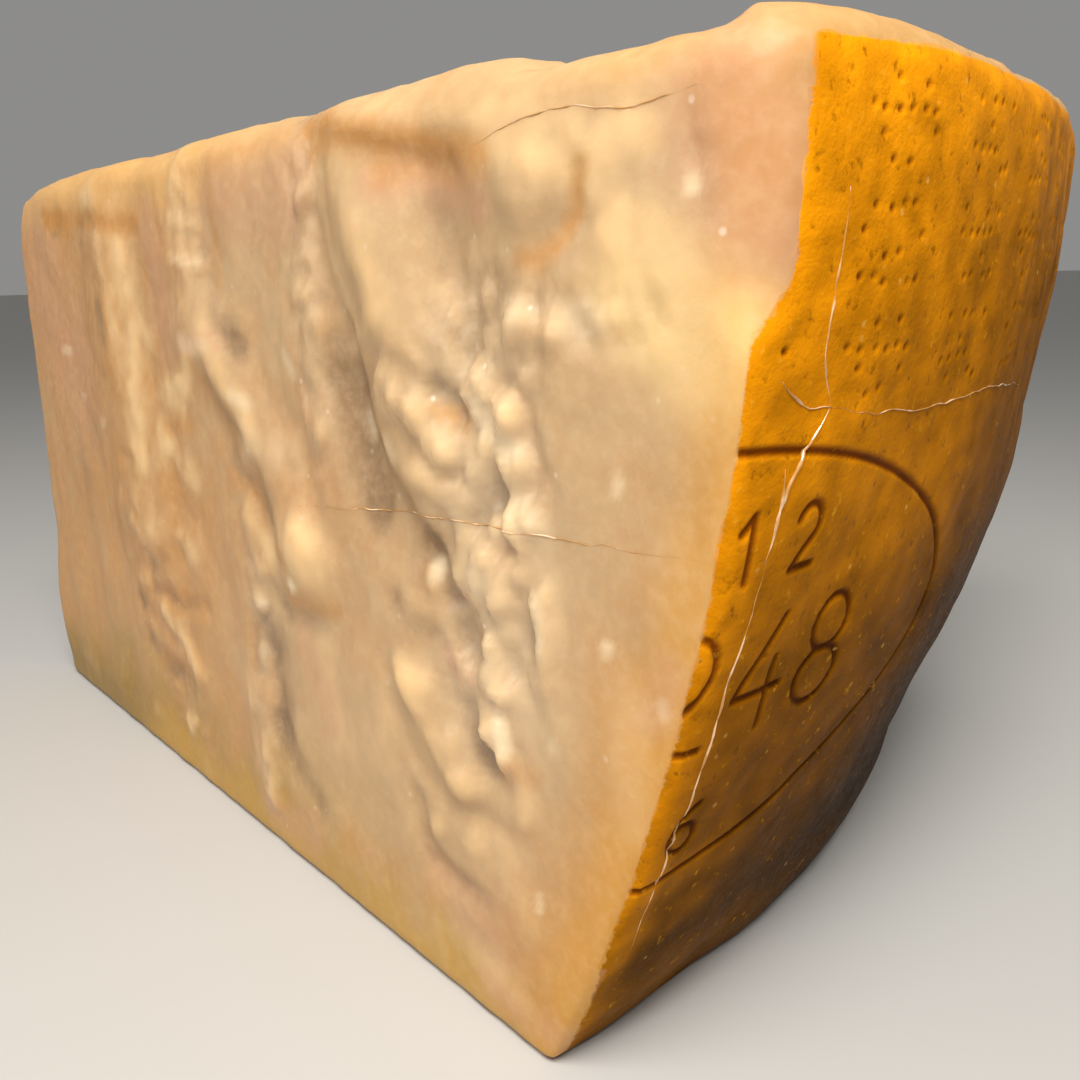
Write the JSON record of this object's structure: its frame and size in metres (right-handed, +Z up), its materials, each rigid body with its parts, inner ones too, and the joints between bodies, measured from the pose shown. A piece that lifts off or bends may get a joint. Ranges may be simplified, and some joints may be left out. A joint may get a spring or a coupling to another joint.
{
  "type": "parmesan chunk",
  "caption": "Wedge of hard grainy cheese from a wheel split at half height, standing on its natural rind, with two rough split faces, a rough top and a bulging rind.",
  "frame": {"origin": "under the middle of the bounding box, on the plane of the flat rind that the chunk stands on", "axes": "+Z up, from the flat rind to the split top; +X from the tip towards the rind along the front split face; the front split face looks towards -Y"},
  "size_m": [0.2176, 0.1576, 0.1157],
  "materials": {
    "cheese_paste": "grainy pale straw cheese under tight clear film, with an orange-yellow rind"
  },
  "bodies": {
    "root": {"parmesan_chunk": "cheese_paste"}
  },
  "joints": []
}
